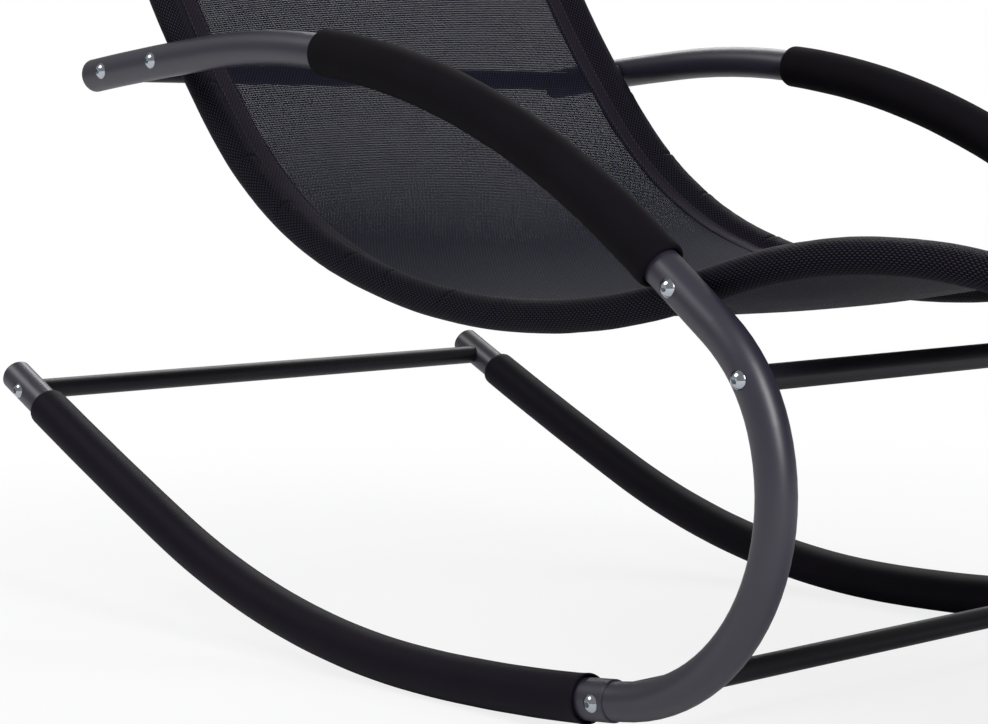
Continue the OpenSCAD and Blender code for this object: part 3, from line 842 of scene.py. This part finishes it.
@dataclass
class Sling:
    """Mesh sling: the open panel, its folded sleeves round the rails, its end hems and its stitching."""

    lines: ChairLines
    sleeve_r: float = 13.2
    pinch_at: float = 18.0
    pinch_half: float = 1.25
    hem_puff: float = 0.55
    edge_half: float = 1.1
    binding_w: float = 3.5
    tuck: float = 9.0
    sag: float = 9.0
    cloth_t: float = 0.3
    end_hem_half: float = 1.2
    stitch_len: float = 4.2
    stitch_pitch: float = 5.4
    stitch_r: float = 0.42
    stitch_lift: float = 0.12
    stitch_margin: float = 6.0
    row_past_pinch: float = 0.6
    row_in_edge: float = 4.0
    row_puff: float = 0.2
    step: float = 1.6
    panel_step: float = 5.0
    panel_columns: int = 61
    ripple: float = 0.35
    sag_run: float = 80.0
    edge_round: float = 1.1
    roll_leaves_at: float = 34.0
    roll_past_pinch: float = 1.0
    roll_blend: float = 6.0
    bore_gap: float = 0.15
    lining_columns: int = 32
    lining_rings: int = 130
    creases: tuple[float, ...] = (446.0, 522.0, 603.0, 693.0, 756.0, 822.0, 891.0)
    crease_depth: float = 1.5
    crease_w: float = 1.5
    crease_slant: float = 7.0
    crease_side: float = 1.6
    swell: float = 0.35
    swell_off: float = 4.5
    swell_w: float = 3.0
    gather_depth: float = 0.14
    gather_r: float = 400.0
    slow_depth: float = 0.3
    end_puff: float = 0.35
    end_flutter: float = 0.5
    end_clear: float = 1.0
    end_columns: int = 60
    rails: tuple[str, ...] = ("back_rail_left", "back_rail_right", "leg_rail_left", "leg_rail_right")

    @property
    def first(self) -> float:
        """Station of the head end of the sling."""
        return self.lines.sizes.sling_inset

    @property
    def last(self) -> float:
        """Station of the foot end of the sling."""
        return self.lines.rail.length - self.lines.sizes.sling_inset

    def stations(self, step: float) -> np.ndarray:
        """Evenly spaced stations from the head end to the foot end.

        Args:
            step: largest distance between two stations.

        Returns:
            The stations.
        """
        return np.linspace(self.first, self.last, int((self.last - self.first) / step) + 1)

    def build(self) -> None:
        """Builds the whole sling."""
        trims = [self.sleeve(side) for side in Side]
        trims += [self.stitching(side) for side in Side]
        trims += [self.end_hem("head", self.first), self.end_hem("foot", self.last)]
        panel = self.panel()
        (self.last - self.first) * MM

    def dip(self, inboard: float, station: float) -> float:
        """How far the open panel sags below the plane of the rails.

        Args:
            inboard: distance from the middle of the chair.
            station: station along the rail.

        Returns:
            The sag in millimetres.
        """
        half = self.lines.sizes.mesh_half_w
        ends = min(1.0, (station - self.first) / self.sag_run, (self.last - station) / self.sag_run)
        return -self.sag * max(0.0, 1 - (inboard / half) ** 2) * max(0.0, ends)

    def flutter(self, station: float, inboard: float) -> float:
        """Slight waviness of a hem.

        Args:
            station: station along the rail.
            inboard: distance inboard of the rail.

        Returns:
            The height in millimetres.
        """
        return self.ripple * noise.noise(Vector((station / 24, inboard / 14, 5.0)))

    def panel(self) -> bpy.types.Object:
        """Builds the open mesh panel, tucked into both hems."""
        half = self.lines.sizes.mesh_half_w + self.tuck
        stations = self.stations(self.panel_step)
        widths = np.linspace(-half, half, self.panel_columns)
        points = np.zeros((len(stations), len(widths), 3))
        for i, station in enumerate(stations):
            place = self.lines.rail.at(station)
            for j, width in enumerate(widths):
                ripple = self.ripple * noise.noise(Vector((station / 60, width / 90, 3.1)))
                x, z = place.left(self.dip(width, station) + ripple)
                points[i, j] = (x * MM, width * MM, z * MM)
        piece = grid_mesh("sling_panel", points, widths * MM, (stations - self.first) * MM, False)
        make_active(piece)
        wall = piece.modifiers.new("cloth thickness", "SOLIDIFY")
        wall.thickness = self.cloth_t * MM
        wall.offset = 0
        bpy.ops.object.modifier_apply(modifier=wall.name)
        return finished(piece, SLING_WEAVE, "mesh_fabric", "sling_mesh")

    def sleeve_outline(self) -> list[tuple[float, float]]:
        """Outline of the folded sleeve.

        Returns:
            Pairs of the distance inboard and the distance up, round the outline from the hem's top edge.
        """
        r, edge = self.sleeve_r, self.lines.sizes.hem_edge
        rounded = (0.35, 0.8, 1.25)
        upper = [(edge - self.edge_round * (1 - math.cos(a)), self.edge_half * math.sin(a)) for a in rounded]
        flat = edge - 2 * self.edge_round
        run = flat - self.pinch_at
        for u in np.linspace(flat, self.pinch_at, 12):
            share = (flat - u) / run
            half = self.edge_half + (self.pinch_half - self.edge_half) * share
            upper.append((u, half + self.hem_puff * math.sin(math.pi * share)))
        leave = math.radians(self.roll_leaves_at)
        start = np.array([self.pinch_at, self.pinch_half])
        end = np.array([r * math.cos(leave), r * math.sin(leave)])
        pull = np.array([self.pinch_at - 3.2, self.pinch_half])
        lead = end + 3.6 * np.array([math.sin(leave), -math.cos(leave)])
        for t in (0.2, 0.4, 0.6, 0.8):
            back = 1 - t
            point = back**3 * start + 3 * back**2 * t * pull + 3 * back * t**2 * lead + t**3 * end
            upper.append((point[0], point[1]))
        arc = np.linspace(leave, math.pi, 18)
        upper += [(r * math.cos(a), r * math.sin(a)) for a in arc]
        lower = [(u, -v) for u, v in reversed(upper[:-1])]
        return upper + lower

    def crease(self, station: float, around: float) -> float:
        """Depth of the tacks and gathers in the sleeve.

        Args:
            station: station along the rail.
            around: angle round the rail, 0 inboard and positive upwards.

        Returns:
            The depth in millimetres, positive inwards.
        """
        depth = 0.0
        for index, centre in enumerate(self.creases):
            slant = self.crease_slant * (1 if index % 2 else -1)
            off = station - centre - slant * math.sin(around)
            reach = max(0.0, math.cos(around - self.crease_side)) ** 0.5
            pit = self.crease_depth * math.exp(-((off / self.crease_w) ** 2))
            swell = self.swell * math.exp(-(((off - self.swell_off) / self.swell_w) ** 2))
            depth += reach * (pit - swell)
        bend = abs(self.lines.rail.curvature(station)) * self.gather_r
        ripple = noise.noise(Vector((station / 9, 1.4 * math.cos(around), 1.4 * math.sin(around))))
        slow = noise.noise(Vector((station / 37, 0.8 * math.cos(around), 0.8 * math.sin(around) + 7)))
        return depth + self.gather_depth * bend * ripple + self.slow_depth * slow

    def sleeve(self, side: Side) -> bpy.types.Object:
        """Builds the folded sleeve round one rail, open at both ends.

        Args:
            side: side of the chair.

        Returns:
            The finished piece.
        """
        sizes = self.lines.sizes
        outline = self.sleeve_outline()
        bore = sizes.rail_d / 2 + self.bore_gap
        angles = np.linspace(0, 2 * math.pi, self.lining_columns, endpoint=False)
        inner = [(bore * math.cos(a), bore * math.sin(a)) for a in angles]
        stations = self.stations(self.step)
        columns = len(outline)
        points = np.zeros((len(stations), columns, 3))
        for i, station in enumerate(stations):
            place = self.lines.rail.at(station)
            for j, (u, v) in enumerate(outline):
                reach = math.hypot(u, v)
                on_roll = max(0.0, min(1.0, (self.pinch_at + self.roll_past_pinch - u) / self.roll_blend))
                dent = self.crease(station, math.atan2(v, u)) * on_roll
                flutter = self.flutter(station, u) * (1 - on_roll)
                scale = (reach - dent) / reach if reach > 3 else 1.0
                points[i, j] = in_chair(place, side, sizes.rail_y, v * scale + flutter, -u * scale)
        name = f"sling_sleeve_{side.word}"
        piece = grid_mesh(f"{name}_cloth", points, round_outline(outline), (stations - self.first) * MM, True)
        self.line_bore(piece, side, inner, stations)
        finished(piece, FOLDED_WEAVE, "sleeve_fabric", name)
        piece.data.materials.append(PRESSED_HEM.material())
        edge = (sizes.rail_y - sizes.hem_edge + self.binding_w) * MM
        root = (sizes.rail_y - self.pinch_at) * MM
        for face in piece.data.polygons:
            face.material_index = int(edge < abs(face.center.y) < root)
        return piece

    def line_bore(
        self, piece: bpy.types.Object, side: Side, inner: list[tuple[float, float]], stations: np.ndarray
    ) -> None:
        """Closes the sleeve's ends with the wall of its tunnel and lines the tunnel.

        Args:
            piece: the sleeve's outer skin.
            side: side of the chair.
            inner: outline of the tunnel, as distances inboard and up.
            stations: stations of the rings.
        """
        sizes = self.lines.sizes
        rings = stations[:: max(1, len(stations) // self.lining_rings)]
        rings = np.append(rings, stations[-1])
        points = np.zeros((len(rings), len(inner), 3))
        for i, station in enumerate(rings):
            place = self.lines.rail.at(station)
            for j, (u, v) in enumerate(inner):
                points[i, j] = in_chair(place, side, sizes.rail_y, v, -u)
        across = np.arange(len(inner) + 1) * 2.2 * MM
        lining = grid_mesh("tunnel_lining", points, across, (rings - self.first) * MM, True)
        shell = bmesh.new()
        shell.from_mesh(lining.data)
        bmesh.ops.reverse_faces(shell, faces=shell.faces)
        shell.from_mesh(piece.data)
        shell.edges.ensure_lookup_table()
        open_edges = [edge for edge in shell.edges if edge.is_boundary]
        middle = self.lines.rail.at((self.first + self.last) / 2)
        for head in (True, False):
            ring = [e for e in open_edges if (sum(v.co.x for v in e.verts) / 2 < middle.x * MM) == head]
            bmesh.ops.bridge_loops(shell, edges=ring)
        bmesh.ops.recalc_face_normals(shell, faces=shell.faces)
        for face in shell.faces:
            face.smooth = True
        shell.to_mesh(piece.data)
        shell.free()
        bpy.data.objects.remove(lining)

    def end_hem(self, where: str, edge: float) -> bpy.types.Object:
        """Builds the folded hem across one end of the panel.

        Args:
            where: name of the end.
            edge: station of the end.

        Returns:
            The finished piece.
        """
        width = self.lines.sizes.end_hem_w
        inward = 1 if where == "head" else -1
        half = self.end_hem_half
        outline = [(0.3 + 1.0 * (1 - math.cos(a)), half * math.sin(a)) for a in (0.3, 0.8, 1.3)]
        flat = np.linspace(3, width - 3, 8)
        outline += [(u, half + self.end_puff * math.sin(math.pi * u / width)) for u in flat]
        outline += [(width - 0.6 + 0.6 * math.sin(a), half * 0.8 * math.cos(a)) for a in (0.2, 0.8, 1.4)]
        outline += [(u, -v) for u, v in reversed(outline)]
        reach = self.lines.sizes.mesh_half_w + self.tuck - self.end_clear
        widths = np.linspace(-reach, reach, self.end_columns)
        points = np.zeros((len(widths), len(outline), 3))
        for i, y in enumerate(widths):
            for j, (u, v) in enumerate(outline):
                station = edge + inward * u
                flutter = self.end_flutter * noise.noise(Vector((y / 40, u / 30, edge / 100)))
                x, z = self.lines.rail.at(station).left(v + flutter + self.dip(y, station))
                points[i, j] = (x * MM, y * MM, z * MM)
        piece = grid_mesh(f"sling_hem_{where}", points, round_outline(outline), widths * MM, True, caps=True)
        return finished(piece, FOLDED_WEAVE, "sleeve_fabric")

    def stitch(self) -> tuple[np.ndarray, list[tuple[int, ...]]]:
        """Models one stitch lying along X, its ends dipping into the cloth.

        Returns:
            Its vertices in millimetres, and its faces.
        """
        deselect()
        bpy.ops.mesh.primitive_uv_sphere_add(segments=8, ring_count=6, radius=1.0)
        bead = bpy.context.object
        bead.scale = (self.stitch_len / 2, self.stitch_r, self.stitch_r)
        bpy.ops.object.transform_apply(location=False, rotation=False, scale=True)
        vertices = np.array([v.co for v in bead.data.vertices])
        vertices[:, 2] -= self.stitch_r * 0.9 * (2 * vertices[:, 0] / self.stitch_len) ** 2
        faces = [tuple(p.vertices) for p in bead.data.polygons]
        bpy.data.objects.remove(bead)
        return vertices, faces

    def stitching(self, side: Side) -> bpy.types.Object:
        """Sews both rows of stitches of one hem, on its top and underside.

        Args:
            side: side of the chair.

        Returns:
            The finished piece.
        """
        sizes = self.lines.sizes
        bead, bead_faces = self.stitch()
        rows = (
            (self.pinch_at + self.row_past_pinch, self.pinch_half, False),
            (sizes.hem_edge - self.row_in_edge, self.edge_half + self.row_puff, True),
        )
        first, last = self.first + self.stitch_margin, self.last - self.stitch_margin
        vertices, faces = [], []
        for inboard, half, waves in rows:
            for face_up in (1, -1):
                for station in np.arange(first, last, self.stitch_pitch):
                    base = len(vertices)
                    for x, y, z in bead:
                        place = self.lines.rail.at(station + x)
                        flutter = self.flutter(station, inboard) if waves else 0.0
                        up = face_up * (half + self.stitch_lift + z) + flutter
                        vertices.append(in_chair(place, side, sizes.rail_y, up, -(inboard + y)))
                    faces.extend([tuple(base + v for v in face) for face in bead_faces])
        mesh = bpy.data.meshes.new(f"hem_stitches_{side.word}")
        mesh.from_pydata(vertices, [], faces)
        piece = bpy.data.objects.new(f"hem_stitches_{side.word}", mesh)
        bpy.context.scene.collection.objects.link(piece)
        smooth_shell(mesh, True)
        return finished(piece, THREAD, "sleeve_fabric")


@dataclass
class SteelFrame:
    """The tubes, bars, bolts and caps, which stay as the CAD made them and take their finishes here."""

    nodes: dict[str, bpy.types.Object]
    finishes: tuple[tuple[str, Finish], ...] = (
        ("side_frame", POWDER_COAT),
        ("rocker_tube", POWDER_COAT),
        ("back_rail", POWDER_COAT),
        ("leg_rail", POWDER_COAT),
        ("crossbar_inserts", ZINC_PLATE),
        ("crossbar_bolts", ZINC_PLATE),
        ("seat_bar", ZINC_PLATE),
        ("seat_bolts", ZINC_PLATE),
        ("seat_rail_nuts", ZINC_PLATE),
        ("crossbar", BAR_COAT),
        ("caps", MOULDED_CAP),
        ("spacers", MOULDED_CAP),
    )

    def dress(self) -> None:
        """Gives each CAD node that stays its finish."""
        for name, node in self.nodes.items():
            finish = next((f for words, f in self.finishes if words in name), None)
            if finish is None:
                continue
            node.data.materials.clear()
            node.data.materials.append(finish.material())
            log.info("%s: kept from the CAD, %s", name, finish.name)


@dataclass
class Studio:
    """Pale floor, soft light and the camera of the photograph."""

    camera_at: tuple[float, float, float] = (1.3287, -1.594, 0.4465)
    camera_looks: tuple[float, float, float] = (-0.731, 0.677, -0.090)
    lens_mm: float = 90.9
    sensor_mm: float = 36.0
    floor_colour: str = "#e2e2e4"
    floor_size: float = 60.0
    glow_near: float = 0.82
    fade_from: float = 0.8
    fade_to: float = 1.8
    world_light: float = 0.45
    world_gloss: float = 0.3
    lamps_aim_z: float = 0.4

    def build(self) -> None:
        """Makes the floor, the world, the lights and the camera."""
        self.floor()
        self.world()
        self.lamp("key_softbox", (-1.6, -2.6, 3.4), (2.4, 1.6), 60.0)
        self.lamp("front_softbox", (3.2, -0.6, 2.2), (1.2, 2.4), 100.0)
        self.lamp("rear_softbox", (-2.6, 2.4, 2.8), (2.4, 1.6), 55.0)
        self.camera()
        bpy.context.scene.view_settings.view_transform = "Standard"

    def floor(self) -> None:
        """Makes the pale floor, which keeps a soft shadow near the chair and fades to white."""
        deselect()
        bpy.ops.mesh.primitive_plane_add(size=self.floor_size, location=(0, 0, 0))
        floor = bpy.context.object
        floor.name = "studio_floor"
        material = bpy.data.materials.new("white_paper_floor")
        material.use_nodes = True
        tree = material.node_tree
        tree.nodes.clear()
        rays = add_node(tree, "ShaderNodeLightPath")
        paper = add_node(tree, "ShaderNodeBsdfDiffuse", None, {"Color": linear(self.floor_colour)})
        glow = add_node(tree, "ShaderNodeEmission", None, {"Color": (1, 1, 1, 1), "Strength": 1.0})
        place = add_node(tree, "ShaderNodeTexCoord").outputs["Object"]
        away = add_node(tree, "ShaderNodeVectorMath", {"operation": "LENGTH"}, {0: place}).outputs["Value"]
        fade = ramp(tree, away, (self.fade_from, self.fade_to), (self.glow_near, 1.0), smooth=True)
        share = add_node(
            tree,
            "ShaderNodeMath",
            {"operation": "MULTIPLY"},
            {0: rays.outputs["Is Camera Ray"], 1: fade},
        )
        mixed = add_node(
            tree, "ShaderNodeMixShader", None, {0: share.outputs[0], 1: paper.outputs[0], 2: glow.outputs[0]}
        )
        add_node(tree, "ShaderNodeOutputMaterial", None, {"Surface": mixed.outputs[0]})
        floor.data.materials.append(material)

    def world(self) -> None:
        """Makes a white backdrop that is dimmer as a light, and dimmer still in reflections."""
        world = bpy.data.worlds.new("studio_backdrop")
        bpy.context.scene.world = world
        world.use_nodes = True
        tree = world.node_tree
        tree.nodes.clear()
        rays = add_node(tree, "ShaderNodeLightPath")
        light = ramp(tree, rays.outputs["Is Glossy Ray"], target=(self.world_light, self.world_gloss))
        seen = add_node(
            tree,
            "ShaderNodeMath",
            {"operation": "MAXIMUM"},
            {0: rays.outputs["Is Camera Ray"], 1: rays.outputs["Is Transmission Ray"]},
        )
        level = ramp(tree, seen.outputs[0], target=(light, 1.0))
        sky = add_node(tree, "ShaderNodeBackground", None, {"Color": (1, 1, 1, 1), "Strength": level})
        add_node(tree, "ShaderNodeOutputWorld", None, {"Surface": sky.outputs[0]})

    def lamp(
        self, name: str, at: tuple[float, float, float], size: tuple[float, float], watts: float
    ) -> None:
        """Adds a soft box that faces the chair.

        Args:
            name: name of the lamp.
            at: its place in metres.
            size: its width and height in metres.
            watts: its power.
        """
        data = bpy.data.lights.new(name, "AREA")
        data.shape = "RECTANGLE"
        data.size, data.size_y = size
        data.energy = watts
        lamp = bpy.data.objects.new(name, data)
        lamp.location = at
        aim = Vector((0, 0, self.lamps_aim_z)) - Vector(at)
        lamp.rotation_euler = aim.to_track_quat("-Z", "Y").to_euler()
        bpy.context.scene.collection.objects.link(lamp)

    def camera(self) -> None:
        """Sets the camera at the photograph's angle."""
        data = bpy.data.cameras.new("photo_camera")
        data.lens = self.lens_mm
        data.sensor_width = self.sensor_mm
        data.clip_start = 0.05
        data.clip_end = 100
        camera = bpy.data.objects.new("photo_camera", data)
        camera.location = self.camera_at
        camera.rotation_euler = Vector(self.camera_looks).to_track_quat("-Z", "Y").to_euler()
        bpy.context.scene.collection.objects.link(camera)
        bpy.context.scene.camera = camera


def main() -> None:
    """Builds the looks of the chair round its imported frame."""
    logging.basicConfig(level=logging.INFO, format="%(name)s: %(message)s")
    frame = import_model()
    sizes = ChairSizes()
    lines = ChairLines(sizes)
    SteelFrame(frame["nodes"]).dress()
    spacing = sizes.frame_spacing / 2
    bore = sizes.frame_tube_d + sizes.foam_gap
    for side in Side:
        FoamTube(
            "arm_grip", "foam", lines.side, spacing, sizes.grip_d, bore,
            lines.grip_front, lines.grip_rear,
        ).build(side)
        FoamTube(
            "rocker_sleeve", "runner", lines.side, spacing, sizes.tread_d, bore,
            lines.tread_rear, lines.tread_front, End.HUGGING, End.FLARED,
            finish=SKINNED_FOAM, unevenness=0.12,
        ).build(side)
    Sling(lines).build()
    Studio().build()


if __name__ == "__main__":
    main()
